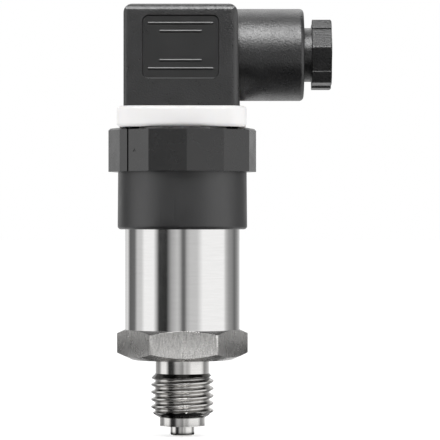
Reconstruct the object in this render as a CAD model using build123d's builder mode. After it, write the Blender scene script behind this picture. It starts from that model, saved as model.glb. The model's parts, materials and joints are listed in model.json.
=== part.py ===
from build123d import *
import os
from math import radians, tan

os.makedirs("parts", exist_ok=True)

# Pressure transmitter with a gauge-style port, a steel case and a right-angle plug.
# Sizes are in millimetres. The origin is the shoulder round the centring spigot,
# Z runs up through the case and X points along the cable gland.

# Sizes of the pressure port
spigot_d = 5.0
spigot_length = 2.2
spigot_chamfer = 0.4
pressure_bore_d = 2.5
collar_d = 9.5
collar_height = 2.3
thread_d = 13.157
thread_length = 8.7
thread_lead_chamfer = 1.0
thread_end_chamfer = 0.6
relief_d = 11.3
relief_height = 2.9
hex_height = 6.3
hex_turn = 2.3
hex_corner_rise = 1.725
hex_lower_face_inset = 1.4
hex_lower_angle = 25.0
hex_upper_angle = 24.6
port_boss_height = 3.0
cell_pocket_d = 14.0
cell_pocket_depth = 4.0

# Sizes of the case tube
tube_d = 24.0
tube_wall = 1.0
tube_flange_width = 0.55
tube_flange_height = 2.4

# Sizes of the measuring cell and the electronics
cell_height = 2.6
cell_seal_width = 2.6
cell_seal_height = 0.8
cell_ring_height = 1.4
cell_ring_bore_d = 8.0
cell_ring_slot = 1.6
carrier_height = 2.4
carrier_post_size = (2.0, 4.0)
carrier_post_height = 7.0
board_side_gap = 1.95
board_thickness = 1.6
board_height = 13.6
board_corner = 0.8
header_size = (10.0, 2.5)
header_height = 1.8
connection_board_thickness = 1.2
chip_size = 7.0
chip_height = 1.4
capacitor_d = 3.4
capacitor_height = 2.0
resistor_size = (1.6, 0.8)
resistor_height = 0.6

# Sizes of the socket base and its blades
base_plug_height = 4.0
base_skirt_step = 0.1
base_skirt_height = 16.2
base_wall = 1.35
base_hollow_height = 18.2
base_flange_inset = 0.25
base_flange_corner = 2.5
base_flange_height = 3.2
base_platform_gap = 0.3
base_platform_corner = 1.2
base_platform_height = 1.8
base_post_d = 8.0
base_post_depth = 4.4
o_ring_section = 1.0
o_ring_groove_width = 1.5
o_ring_groove_depth = 1.0
o_ring_groove_lift = 1.2
blade_circle_r = 7.6
blade_width = 6.3
blade_thickness = 0.8
blade_tail_width = 2.0
blade_tail_below_board = 0.5
blade_height = 6.1
blade_tip_chamfer = 0.3
bush_d = 5.5
bush_bore_d = 3.0
bush_length = 9.4

# Sizes of the gasket
gasket_wall = 1.65
gasket_height = 4.3
gasket_edge = 1.0
gasket_lip_height = 1.1
gasket_opening_gap = 0.2

# Sizes of the union nut and its slip ring
nut_grip_step = 1.5
nut_sides = 12
nut_turn = 4.1
nut_grip_height = 9.05
nut_skirt_height = 12.05
nut_skirt_wall = 0.8
nut_skirt_draft = 0.1
nut_skirt_edge = 0.7
nut_top_chamfer = 0.4
nut_lip_height = 1.8
nut_mark_width = 0.4
nut_mark_depth = 0.4
nut_mark_face = -135.0
nut_mark_shift = -1.75
slip_ring_height = 0.8

# Sizes of the plug housing
plug_height = 21.1
plug_gland_side_draft = 0.5
plug_corner_back = 1.0
plug_corner_gland = 2.0
plug_front_top_edge = 1.7
plug_side_top_edge = 2.0
plug_wall = 1.8
plug_head_clearance = 0.5
plug_roof = 1.9
plug_inner_corner = 1.2
boss_d = 19.3
boss_drop = 10.0
boss_length = 13.4
boss_edge = 0.9
boss_bore_d = 12.5
boss_bore_depth = 10.2
wire_passage_d = 8.4
screw_pocket_d = 7.2
screw_pocket_depth = 2.6
pillar_top_d = 9.6
pillar_top_height = 2.3
pillar_d = 6.0
pillar_gap = 0.3
panel_width = 15.9
panel_height = 13.15
panel_corner = 1.4
panel_depth = 0.4
panel_draft = 30.0
panel_shift = -0.22
panel_drop = 8.97
bar_height = 0.62
bar_relief = 0.18
bar_long = 13.4
bar_short = 8.65
bar_rises = (-4.5, -2.8, 3.2, 4.85)

# Sizes of the contact insert and the female contacts
insert_height = 6.1
insert_lift = 1.2
insert_floor = 1.1
insert_tube_d = 6.0
insert_tube_height = 2.2
contact_width = 7.2
contact_depth = 2.6
contact_height = 8.5
contact_slot_height = 4.8
contact_wire_hole_d = 1.8
contact_wire_hole_rise = 6.5
terminal_screw_d = 2.5
terminal_screw_grip = 1.0
terminal_head_d = 4.2
terminal_head_height = 1.4
driver_slot = 0.7
driver_slot_depth = 0.7

# Sizes of the fixing screw
screw_shank_d = 2.9
screw_head_d = 5.5
screw_head_height = 1.7
screw_engagement = 8.4
screw_seat_height = 0.7
screw_ring_section = 0.64

# Sizes of the cable gland
grommet_length = 4.0
grommet_bore_d = 5.8
washer_thickness = 0.8
gland_shank_length = 4.7
gland_relief_d = 11.3
gland_relief_length = 2.4
gland_bore_d = 6.6
gland_flats = 13.5
gland_corner_rise = 0.95
gland_hex_length = 4.1
gland_hex_turn = -9.0
gland_end_inset = 0.45
gland_end_angle = 30.0
gland_channel_width = 2.9
gland_channel_depth = 0.3

# Fits and clearances, each on one side
press_seat = 0.02
sliding_gap = 0.05
loose_gap = 0.15

# Heights that follow from the sizes
z_thread_bottom = collar_height
z_thread_top = z_thread_bottom + thread_length
z_hex_bottom = z_thread_top + relief_height
z_hex_top = z_hex_bottom + hex_height
z_port_top = z_hex_top + port_boss_height
z_cell_seat = z_port_top - cell_pocket_depth
z_cell_bottom = z_cell_seat + cell_seal_height
z_cell_top = z_cell_bottom + cell_height
z_board_bottom = z_port_top + carrier_height
z_board_top = z_board_bottom + board_height
z_connection_board = z_board_top + header_height
z_base_bottom = z_connection_board + connection_board_thickness
z_tube_top = z_base_bottom + base_plug_height
z_tube_flange = z_tube_top - tube_flange_height
z_slip_ring = z_tube_flange - slip_ring_height
z_nut_bottom = z_slip_ring - nut_lip_height
z_nut_step = z_nut_bottom + nut_skirt_height
z_nut_top = z_nut_step + nut_grip_height
z_base_flange = z_tube_top + base_skirt_height
z_platform = z_base_flange + base_flange_height
z_platform_top = z_platform + base_platform_height
z_plug_bottom = z_base_flange + gasket_height
z_plug_top = z_plug_bottom + plug_height
z_plug_roof = z_plug_top - plug_roof
z_boss = z_plug_top - boss_drop
z_insert = z_plug_bottom + insert_lift
z_insert_top = z_insert + insert_height
z_pillar_bottom = z_insert_top + insert_tube_height + pillar_gap
z_contact = z_insert + insert_floor
z_contact_top = z_contact + contact_height
z_screw_seat = z_plug_top - screw_pocket_depth
z_screw_head = z_screw_seat + screw_seat_height
z_bush_bottom = z_platform_top - bush_length

# Radii and positions that follow from the sizes
tube_bore_r = tube_d / 2 - tube_wall
in_tube_r = tube_bore_r - sliding_gap
tube_flange_r = tube_d / 2 + tube_flange_width
hex_flats = tube_d
hex_corner_r = hex_flats / 2 + hex_corner_rise
hex_lower_face_r = hex_flats / 2 - hex_lower_face_inset
board_width = 2 * (in_tube_r - board_side_gap)
base_skirt_r = tube_flange_r + base_skirt_step
base_hollow_r = in_tube_r - o_ring_groove_depth - base_wall
nut_bore_r = base_skirt_r + sliding_gap
nut_skirt_r = nut_bore_r + nut_skirt_wall
nut_flats = 2 * (nut_skirt_r + nut_grip_step)
lip_bore_r = tube_d / 2 + loose_gap
plug_cavity = 2 * (blade_circle_r + terminal_head_d / 2 + plug_head_clearance)
plug_size = plug_cavity + 2 * plug_wall
plug_half = plug_size / 2
panel_face = plug_half - panel_depth
bar_radius = (bar_height**2 / 4 + bar_relief**2) / (2 * bar_relief)
insert_size = plug_cavity - 4 * sliding_gap
base_platform_size = plug_cavity - 2 * base_platform_gap
base_flange_size = plug_size - 2 * base_flange_inset
gasket_inner_size = base_flange_size + 2 * sliding_gap
gasket_size = gasket_inner_size + 2 * gasket_wall
gasket_opening = base_platform_size + 2 * gasket_opening_gap
boss_reach = plug_half + boss_length
x_boss_bore = boss_reach - boss_bore_depth
x_washer = x_boss_bore + grommet_length
x_gland_shank = x_washer + washer_thickness
x_gland_relief = x_gland_shank + gland_shank_length
x_gland_hex = x_gland_relief + gland_relief_length
x_gland_end = x_gland_hex + gland_hex_length
in_boss_r = boss_bore_d / 2 - sliding_gap
gland_corner_r = gland_flats / 2 + gland_corner_rise
gland_end_face_r = gland_corner_r - gland_end_inset
blade_names = ("contact_pin_1", "contact_pin_2", "contact_pin_3", "earth_pin")
female_names = ("female_contact_1", "female_contact_2", "female_contact_3", "earth_contact")
blade_angles = (180, 0, 270, 90)


# Pressure port, turned from hexagon bar with the measuring-cell pocket in its top
with BuildPart() as pressure_port:
    with BuildSketch(Plane.XY.offset(z_hex_bottom)):
        RegularPolygon(hex_flats / 2, 6, major_radius=False, rotation=hex_turn)
    extrude(amount=hex_height)
    with BuildSketch(Plane.XZ):
        with BuildLine():
            lower_rise = (hex_corner_r - hex_lower_face_r) * tan(radians(hex_lower_angle))
            upper_drop = hex_corner_rise * tan(radians(hex_upper_angle))
            Polyline(
                (0, z_hex_bottom),
                (hex_lower_face_r, z_hex_bottom),
                (hex_corner_r, z_hex_bottom + lower_rise),
                (hex_corner_r, z_hex_top - upper_drop),
                (hex_flats / 2, z_hex_top),
                (0, z_hex_top),
                close=True,
            )
        make_face()
    revolve(axis=Axis.Z, mode=Mode.INTERSECT)
    with BuildSketch(Plane.XZ):
        with BuildLine():
            Polyline(
                (0, -spigot_length),
                (spigot_d / 2 - spigot_chamfer, -spigot_length),
                (spigot_d / 2, spigot_chamfer - spigot_length),
                (spigot_d / 2, 0),
                (collar_d / 2, 0),
                (collar_d / 2, z_thread_bottom),
                (thread_d / 2 - thread_lead_chamfer, z_thread_bottom),
                (thread_d / 2, z_thread_bottom + thread_lead_chamfer),
                (thread_d / 2, z_thread_top - thread_end_chamfer),
                (thread_d / 2 - thread_end_chamfer, z_thread_top),
                (relief_d / 2, z_thread_top),
                (relief_d / 2, z_hex_bottom),
                (0, z_hex_bottom),
                close=True,
            )
        make_face()
    revolve(axis=Axis.Z)
    with BuildSketch(Plane.XY.offset(z_hex_top)):
        Circle(in_tube_r)
    extrude(amount=port_boss_height)
    with BuildSketch(Plane.XY.offset(z_port_top)):
        Circle(cell_pocket_d / 2)
    extrude(amount=-cell_pocket_depth, mode=Mode.SUBTRACT)
    with BuildSketch(Plane.XY.offset(-spigot_length)):
        Circle(pressure_bore_d / 2)
    extrude(amount=spigot_length + z_cell_seat, mode=Mode.SUBTRACT)
pressure_port.part.label = "pressure_port"
export_step(pressure_port.part, "parts/pressure_port.step")


# Case tube, a drawn steel can with a turned flange that the union nut pulls on
with BuildPart() as case_tube:
    with BuildSketch(Plane.XZ):
        with BuildLine():
            Polyline(
                (tube_bore_r, z_hex_top),
                (tube_d / 2, z_hex_top),
                (tube_d / 2, z_tube_flange),
                (tube_flange_r, z_tube_flange),
                (tube_flange_r, z_tube_top),
                (tube_bore_r, z_tube_top),
                close=True,
            )
        make_face()
    revolve(axis=Axis.Z)
case_tube.part.label = "case_tube"
export_step(case_tube.part, "parts/case_tube.step")


# Flat seal under the measuring cell
with BuildPart() as cell_seal:
    with BuildSketch(Plane.XY.offset(z_cell_seat)):
        Circle(cell_pocket_d / 2 - loose_gap)
        Circle(cell_pocket_d / 2 - loose_gap - cell_seal_width, mode=Mode.SUBTRACT)
    extrude(amount=cell_seal_height)
cell_seal.part.label = "cell_seal"
export_step(cell_seal.part, "parts/cell_seal.step")


# Ceramic measuring cell
with BuildPart() as sensor_cell:
    with BuildSketch(Plane.XY.offset(z_cell_bottom)):
        Circle(cell_pocket_d / 2 - 2 * sliding_gap)
    extrude(amount=cell_height)
sensor_cell.part.label = "sensor_cell"
export_step(sensor_cell.part, "parts/sensor_cell.step")


# Clamping ring with two spanner slots, screwed down on the cell
with BuildPart() as cell_ring:
    with BuildSketch(Plane.XY.offset(z_cell_top)):
        Circle(cell_pocket_d / 2 - sliding_gap)
        Circle(cell_ring_bore_d / 2, mode=Mode.SUBTRACT)
        Rectangle(cell_pocket_d, cell_ring_slot, mode=Mode.SUBTRACT)
        Circle((cell_pocket_d + cell_ring_bore_d) / 4)
        Circle(cell_ring_bore_d / 2, mode=Mode.SUBTRACT)
    extrude(amount=cell_ring_height)
cell_ring.part.label = "cell_ring"
export_step(cell_ring.part, "parts/cell_ring.step")


# Board carrier, a moulded ring on the port with two slotted posts
with BuildPart() as board_carrier:
    with BuildSketch(Plane.XY.offset(z_port_top)):
        Circle(in_tube_r - sliding_gap)
        Circle(cell_pocket_d / 2 + loose_gap, mode=Mode.SUBTRACT)
    extrude(amount=carrier_height)
    with BuildSketch(Plane.XY.offset(z_board_bottom)):
        with GridLocations(board_width + carrier_post_size[0] / 2, 0, 2, 1):
            Rectangle(*carrier_post_size)
        Rectangle(board_width + 2 * sliding_gap, board_thickness + 2 * sliding_gap, mode=Mode.SUBTRACT)
    extrude(amount=carrier_post_height)
board_carrier.part.label = "board_carrier"
export_step(board_carrier.part, "parts/board_carrier.step")


# Circuit board, upright between the carrier posts
with BuildPart() as circuit_board:
    with BuildSketch(Plane.XZ):
        with Locations((0, z_board_bottom + board_height / 2)):
            RectangleRounded(board_width, board_height, board_corner)
    extrude(amount=board_thickness / 2, both=True)
circuit_board.part.label = "circuit_board"
export_step(circuit_board.part, "parts/circuit_board.step")


# Board components, soldered on both faces of the circuit board
with BuildPart() as board_components:
    with BuildSketch(Plane.XZ.offset(board_thickness / 2)):
        with Locations((0, z_board_bottom + board_height * 0.42)):
            RectangleRounded(chip_size, chip_size, 0.3)
    extrude(amount=chip_height)
    with BuildSketch(Plane.XZ.offset(board_thickness / 2)):
        with Locations((0, z_board_bottom + board_height * 0.84)):
            with GridLocations(2 * resistor_size[0], 1, 4, 1):
                Rectangle(*resistor_size)
    extrude(amount=resistor_height)
    with BuildSketch(Plane.XZ.offset(-board_thickness / 2)):
        with Locations((0, z_board_bottom + board_height * 0.62)):
            with GridLocations(2 * capacitor_d, 1, 2, 1):
                Circle(capacitor_d / 2)
    extrude(amount=-capacitor_height)
board_components.part.label = "board_components"
export_step(board_components.part, "parts/board_components.step")


# Pin header between the upright board and the connection board
with BuildPart() as board_header:
    with BuildSketch(Plane.XY.offset(z_board_top)):
        Rectangle(*header_size)
    extrude(amount=header_height)
board_header.part.label = "board_header"
export_step(board_header.part, "parts/board_header.step")


# Connection board, a round board that the four blade tails are soldered through
with BuildPart() as connection_board:
    with BuildSketch(Plane.XY.offset(z_connection_board)):
        Circle(in_tube_r - loose_gap)
        with PolarLocations(blade_circle_r, len(blade_angles)):
            Rectangle(blade_thickness, blade_tail_width, mode=Mode.SUBTRACT)
    extrude(amount=connection_board_thickness)
connection_board.part.label = "connection_board"
export_step(connection_board.part, "parts/connection_board.step")


# Socket base, one moulding: plug in the tube, threaded skirt, square flange and platform
with BuildPart() as socket_base:
    with BuildSketch(Plane.XY.offset(z_base_bottom)):
        Circle(in_tube_r)
    extrude(amount=base_plug_height)
    with BuildSketch(Plane.XY.offset(z_tube_top)):
        Circle(base_skirt_r)
    extrude(amount=base_skirt_height)
    with BuildSketch(Plane.XY.offset(z_base_flange)):
        RectangleRounded(base_flange_size, base_flange_size, base_flange_corner)
    extrude(amount=base_flange_height)
    with BuildSketch(Plane.XY.offset(z_platform)):
        RectangleRounded(base_platform_size, base_platform_size, base_platform_corner)
    extrude(amount=base_platform_height)
    with BuildSketch(Plane.XY.offset(z_base_bottom)):
        Circle(base_hollow_r)
        with PolarLocations(blade_circle_r, len(blade_angles)):
            Rectangle(blade_thickness + 2 * sliding_gap, blade_tail_width + 2 * sliding_gap)
    extrude(amount=base_hollow_height, mode=Mode.SUBTRACT)
    with BuildSketch(Plane.XY.offset(z_base_bottom + base_hollow_height)):
        Circle(base_post_d / 2)
    extrude(amount=-base_post_depth)
    with BuildSketch(Plane.XY.offset(z_bush_bottom)):
        Circle(bush_d / 2)
    extrude(amount=bush_length, mode=Mode.SUBTRACT)
    with BuildSketch(Plane.XY.offset(z_base_bottom + base_hollow_height)):
        with PolarLocations(blade_circle_r, len(blade_angles)):
            Rectangle(blade_thickness, blade_width)
    extrude(amount=z_platform_top - z_base_bottom - base_hollow_height, mode=Mode.SUBTRACT)
    with BuildSketch(Plane.XY.offset(z_base_bottom + o_ring_groove_lift)):
        Circle(in_tube_r + 1)
        Circle(in_tube_r - o_ring_groove_depth, mode=Mode.SUBTRACT)
    extrude(amount=o_ring_groove_width, mode=Mode.SUBTRACT)
socket_base.part.label = "socket_base"
export_step(socket_base.part, "parts/socket_base.step")


# O-ring that seals the socket base in the tube
with BuildPart() as socket_o_ring:
    with BuildSketch(Plane.XZ):
        ring_r = in_tube_r - o_ring_groove_depth + o_ring_section / 2
        with Locations((ring_r, z_base_bottom + o_ring_groove_lift + o_ring_groove_width / 2)):
            Circle(o_ring_section / 2 - press_seat)
    revolve(axis=Axis.Z)
socket_o_ring.part.label = "socket_o_ring"
export_step(socket_o_ring.part, "parts/socket_o_ring.step")


# Three contact blades and the earth blade, each with a tail down to the connection board
z_tail_bottom = z_connection_board - blade_tail_below_board
z_blade_bottom = z_base_bottom + base_hollow_height
for blade_name, blade_angle in zip(blade_names, blade_angles):
    with BuildPart() as blade:
        with BuildSketch(Plane.XY.offset(z_blade_bottom)):
            with PolarLocations(blade_circle_r, 1, start_angle=blade_angle):
                Rectangle(blade_thickness, blade_width)
        extrude(amount=z_platform_top + blade_height - z_blade_bottom)
        chamfer(blade.faces().sort_by(Axis.Z)[-1].edges(), blade_tip_chamfer)
        with BuildSketch(Plane.XY.offset(z_tail_bottom)):
            with PolarLocations(blade_circle_r, 1, start_angle=blade_angle):
                Rectangle(blade_thickness, blade_tail_width)
        extrude(amount=z_blade_bottom - z_tail_bottom)
    blade.part.label = blade_name
    export_step(blade.part, f"parts/{blade_name}.step")


# Threaded brass bush for the fixing screw
with BuildPart() as screw_bush:
    with BuildSketch(Plane.XY.offset(z_bush_bottom)):
        Circle(bush_d / 2)
        Circle(bush_bore_d / 2, mode=Mode.SUBTRACT)
    extrude(amount=bush_length)
screw_bush.part.label = "screw_bush"
export_step(screw_bush.part, "parts/screw_bush.step")


# Profile gasket, a soft square cup drawn over the flange of the base
with BuildPart() as profile_gasket:
    with BuildSketch(Plane.XY.offset(z_base_flange)):
        outer_corner = base_flange_corner + sliding_gap + gasket_wall
        RectangleRounded(gasket_size, gasket_size, outer_corner)
    extrude(amount=gasket_height)
    fillet(profile_gasket.faces().sort_by(Axis.Z)[-1].edges(), gasket_edge)
    fillet(profile_gasket.faces().sort_by(Axis.Z)[0].edges(), gasket_edge)
    with BuildSketch(Plane.XY.offset(z_base_flange)):
        RectangleRounded(gasket_inner_size, gasket_inner_size, base_flange_corner + sliding_gap)
    extrude(amount=gasket_height - gasket_lip_height, mode=Mode.SUBTRACT)
    with BuildSketch(Plane.XY.offset(z_base_flange)):
        RectangleRounded(gasket_opening, gasket_opening, base_platform_corner + sliding_gap)
    extrude(amount=gasket_height, mode=Mode.SUBTRACT)
profile_gasket.part.label = "profile_gasket"
export_step(profile_gasket.part, "parts/profile_gasket.step")


# Slip ring between the lip of the union nut and the flange of the tube
with BuildPart() as slip_ring:
    with BuildSketch(Plane.XY.offset(z_slip_ring)):
        Circle(tube_flange_r)
        Circle(lip_bore_r, mode=Mode.SUBTRACT)
    extrude(amount=slip_ring_height)
slip_ring.part.label = "slip_ring"
export_step(slip_ring.part, "parts/slip_ring.step")


# Union nut, a moulded sleeve with a twelve-sided grip and a lip at its foot
with BuildPart() as union_nut:
    with BuildSketch(Plane.XY.offset(z_nut_step)):
        RegularPolygon(nut_flats / 2, nut_sides, major_radius=False, rotation=nut_turn)
    extrude(amount=nut_grip_height)
    chamfer(union_nut.faces().sort_by(Axis.Z)[-1].edges(), nut_top_chamfer)
    with BuildSketch(Plane.XZ):
        with BuildLine():
            Polyline(
                (0, z_nut_bottom),
                (nut_skirt_r + nut_skirt_draft, z_nut_bottom),
                (nut_skirt_r, z_nut_step),
                (0, z_nut_step),
                close=True,
            )
        make_face()
    revolve(axis=Axis.Z)
    fillet(union_nut.faces().sort_by(Axis.Z)[0].edges(), nut_skirt_edge)
    with BuildSketch(Plane.XY.offset(z_nut_bottom)):
        Circle(lip_bore_r)
    extrude(amount=nut_lip_height, mode=Mode.SUBTRACT)
    with BuildSketch(Plane.XY.offset(z_slip_ring)):
        Circle(nut_bore_r)
    extrude(amount=z_nut_top - z_slip_ring, mode=Mode.SUBTRACT)
    with BuildSketch(Plane.XY.offset(z_nut_step).rotated((0, 0, nut_turn + nut_mark_face))):
        with Locations((nut_flats / 2, nut_mark_shift)):
            Rectangle(2 * nut_mark_depth, nut_mark_width)
    extrude(amount=nut_grip_height, mode=Mode.SUBTRACT)
union_nut.part.label = "union_nut"
export_step(union_nut.part, "parts/union_nut.step")


# Plug housing, one moulding: square block, round gland boss, screw pocket and pillar
with BuildPart() as plug_housing:
    with BuildSketch(Plane.XZ):
        with BuildLine():
            Polyline(
                (-plug_half, z_plug_bottom),
                (plug_half, z_plug_bottom),
                (plug_half - plug_gland_side_draft, z_plug_top),
                (-plug_half, z_plug_top),
                close=True,
            )
        make_face()
        fillet(vertices().group_by(Axis.Y)[-1], plug_side_top_edge)
    extrude(amount=plug_half, both=True)
    with BuildSketch(Plane.YZ):
        with Locations((0, z_plug_bottom + plug_height / 2)):
            Rectangle(plug_size, plug_height)
        fillet(vertices().group_by(Axis.Y)[-1], plug_front_top_edge)
    extrude(amount=plug_size, both=True, mode=Mode.INTERSECT)
    with BuildSketch(Plane.XY.offset(z_plug_bottom)):
        Rectangle(plug_size, plug_size)
        fillet(vertices().group_by(Axis.X)[0], plug_corner_back)
        fillet(vertices().group_by(Axis.X)[-1], plug_corner_gland)
    extrude(amount=plug_height, mode=Mode.INTERSECT)
    with BuildSketch(Plane.YZ.offset(plug_half - plug_side_top_edge)):
        with Locations((0, z_boss)):
            Circle(boss_d / 2)
    extrude(amount=boss_reach - plug_half + plug_side_top_edge)
    fillet(plug_housing.faces().sort_by(Axis.X)[-1].edges(), boss_edge)
    with BuildSketch(Plane.XY.offset(z_plug_bottom)):
        RectangleRounded(plug_cavity, plug_cavity, plug_inner_corner)
    extrude(amount=plug_height - plug_roof, mode=Mode.SUBTRACT)
    with BuildSketch(Plane.YZ.offset(boss_reach)):
        with Locations((0, z_boss)):
            Circle(boss_bore_d / 2)
    extrude(amount=-boss_bore_depth, mode=Mode.SUBTRACT)
    with BuildSketch(Plane.YZ.offset(x_boss_bore)):
        with Locations((0, z_boss)):
            Circle(wire_passage_d / 2)
    extrude(amount=plug_cavity / 2 - x_boss_bore, mode=Mode.SUBTRACT)
    with BuildSketch(Plane.XY.offset(z_plug_roof)):
        Circle(pillar_top_d / 2)
    extrude(amount=-pillar_top_height)
    with BuildSketch(Plane.XY.offset(z_pillar_bottom)):
        Circle(pillar_d / 2)
    extrude(amount=z_plug_roof - z_pillar_bottom)
    with BuildSketch(Plane.XY.offset(z_plug_top)):
        Circle(screw_pocket_d / 2)
    extrude(amount=-screw_pocket_depth, mode=Mode.SUBTRACT)
    with BuildSketch(Plane.XY.offset(z_plug_top)):
        Circle(screw_shank_d / 2 + loose_gap)
    extrude(amount=z_pillar_bottom - z_plug_top, mode=Mode.SUBTRACT)
    with BuildSketch(Plane.XZ.offset(plug_half)):
        with Locations((panel_shift, z_plug_top - panel_drop)):
            RectangleRounded(panel_width, panel_height, panel_corner)
    extrude(amount=-panel_depth, taper=panel_draft, mode=Mode.SUBTRACT)
    for bar_rise in bar_rises:
        bar_length = bar_long if abs(bar_rise) > panel_height / 3 else bar_short
        with Locations((panel_shift, bar_radius - bar_relief - panel_face, z_plug_top - panel_drop + bar_rise)):
            Cylinder(bar_radius, bar_length, rotation=(0, 90, 0))
plug_housing.part.label = "plug_housing"
export_step(plug_housing.part, "parts/plug_housing.step")


# Contact insert, a square moulding with four pockets and a tube for the fixing screw
with BuildPart() as contact_insert:
    with BuildSketch(Plane.XY.offset(z_insert)):
        RectangleRounded(insert_size, insert_size, plug_inner_corner)
    extrude(amount=insert_height)
    with BuildSketch(Plane.XY.offset(z_insert_top)):
        Circle(insert_tube_d / 2)
    extrude(amount=insert_tube_height)
    with BuildSketch(Plane.XY.offset(z_insert)):
        Circle(screw_shank_d / 2 + loose_gap)
    extrude(amount=insert_height + insert_tube_height, mode=Mode.SUBTRACT)
    with BuildSketch(Plane.XY.offset(z_contact)):
        with PolarLocations(blade_circle_r, len(blade_angles)):
            Rectangle(contact_depth + 2 * sliding_gap, contact_width + 2 * sliding_gap)
    extrude(amount=insert_height - insert_floor, mode=Mode.SUBTRACT)
    with BuildSketch(Plane.XY.offset(z_insert)):
        with PolarLocations(blade_circle_r, len(blade_angles)):
            Rectangle(blade_thickness + 2 * loose_gap, blade_width + 2 * loose_gap)
    extrude(amount=insert_floor, mode=Mode.SUBTRACT)
contact_insert.part.label = "contact_insert"
export_step(contact_insert.part, "parts/contact_insert.step")


# Female contacts, brass blocks with a slot for the blade and a hole for the wire
for female_name, blade_angle in zip(female_names, blade_angles):
    with BuildPart() as female:
        with BuildSketch(Plane.XY.offset(z_contact)):
            with PolarLocations(blade_circle_r, 1, start_angle=blade_angle):
                Rectangle(contact_depth, contact_width)
        extrude(amount=contact_height)
        with BuildSketch(Plane.XY.offset(z_contact)):
            with PolarLocations(blade_circle_r, 1, start_angle=blade_angle):
                Rectangle(blade_thickness + 2 * sliding_gap, blade_width + 2 * sliding_gap)
        extrude(amount=contact_slot_height, mode=Mode.SUBTRACT)
        with BuildSketch(Plane.XY.offset(z_contact_top)):
            with PolarLocations(blade_circle_r, 1, start_angle=blade_angle):
                Circle(terminal_screw_d / 2)
        extrude(amount=-terminal_screw_grip, mode=Mode.SUBTRACT)
        with BuildSketch(Plane.YZ.rotated((0, 0, blade_angle))):
            with Locations((0, z_contact + contact_wire_hole_rise)):
                Circle(contact_wire_hole_d / 2)
        extrude(amount=blade_circle_r + contact_width, mode=Mode.SUBTRACT)
    female.part.label = female_name
    export_step(female.part, f"parts/{female_name}.step")


# Terminal screws, four slotted screws that clamp the wires
with BuildPart() as terminal_screws:
    with BuildSketch(Plane.XY.offset(z_contact_top)):
        with PolarLocations(blade_circle_r, len(blade_angles)):
            Circle(terminal_screw_d / 2 - press_seat)
    extrude(amount=-terminal_screw_grip)
    with BuildSketch(Plane.XY.offset(z_contact_top)):
        with PolarLocations(blade_circle_r, len(blade_angles)):
            Circle(terminal_head_d / 2)
    extrude(amount=terminal_head_height)
    with BuildSketch(Plane.XY.offset(z_contact_top + terminal_head_height)):
        with PolarLocations(blade_circle_r, len(blade_angles)):
            Rectangle(driver_slot, terminal_head_d)
    extrude(amount=-driver_slot_depth, mode=Mode.SUBTRACT)
terminal_screws.part.label = "terminal_screws"
export_step(terminal_screws.part, "parts/terminal_screws.step")


# Fixing screw, slotted cheese head in the pocket and a shank down into the bush
with BuildPart() as fixing_screw:
    with BuildSketch(Plane.XY.offset(z_screw_head)):
        Circle(screw_head_d / 2)
    extrude(amount=screw_head_height)
    with BuildSketch(Plane.XY.offset(z_screw_head)):
        Circle(screw_shank_d / 2)
    extrude(amount=z_platform_top - screw_engagement - z_screw_head)
    with BuildSketch(Plane.XY.offset(z_screw_head + screw_head_height)):
        Rectangle(screw_head_d, driver_slot)
    extrude(amount=-driver_slot_depth, mode=Mode.SUBTRACT)
fixing_screw.part.label = "fixing_screw"
export_step(fixing_screw.part, "parts/fixing_screw.step")


# O-ring under the head of the fixing screw
with BuildPart() as screw_o_ring:
    with BuildSketch(Plane.XZ):
        screw_ring_r = screw_shank_d / 2 + loose_gap + screw_ring_section / 2
        with Locations((screw_ring_r + loose_gap, z_screw_seat + screw_ring_section / 2)):
            Circle(screw_ring_section / 2)
    revolve(axis=Axis.Z)
screw_o_ring.part.label = "screw_o_ring"
export_step(screw_o_ring.part, "parts/screw_o_ring.step")


# Cable grommet, a soft ring at the bottom of the gland bore
with BuildPart() as cable_grommet:
    with BuildSketch(Plane.YZ.offset(x_boss_bore)):
        with Locations((0, z_boss)):
            Circle(in_boss_r - 2 * sliding_gap)
            Circle(grommet_bore_d / 2, mode=Mode.SUBTRACT)
    extrude(amount=grommet_length)
cable_grommet.part.label = "cable_grommet"
export_step(cable_grommet.part, "parts/cable_grommet.step")


# Gland washer, pushed on the grommet by the nut
with BuildPart() as gland_washer:
    with BuildSketch(Plane.YZ.offset(x_washer)):
        with Locations((0, z_boss)):
            Circle(in_boss_r)
            Circle(gland_bore_d / 2, mode=Mode.SUBTRACT)
    extrude(amount=washer_thickness)
gland_washer.part.label = "gland_washer"
export_step(gland_washer.part, "parts/gland_washer.step")


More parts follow.
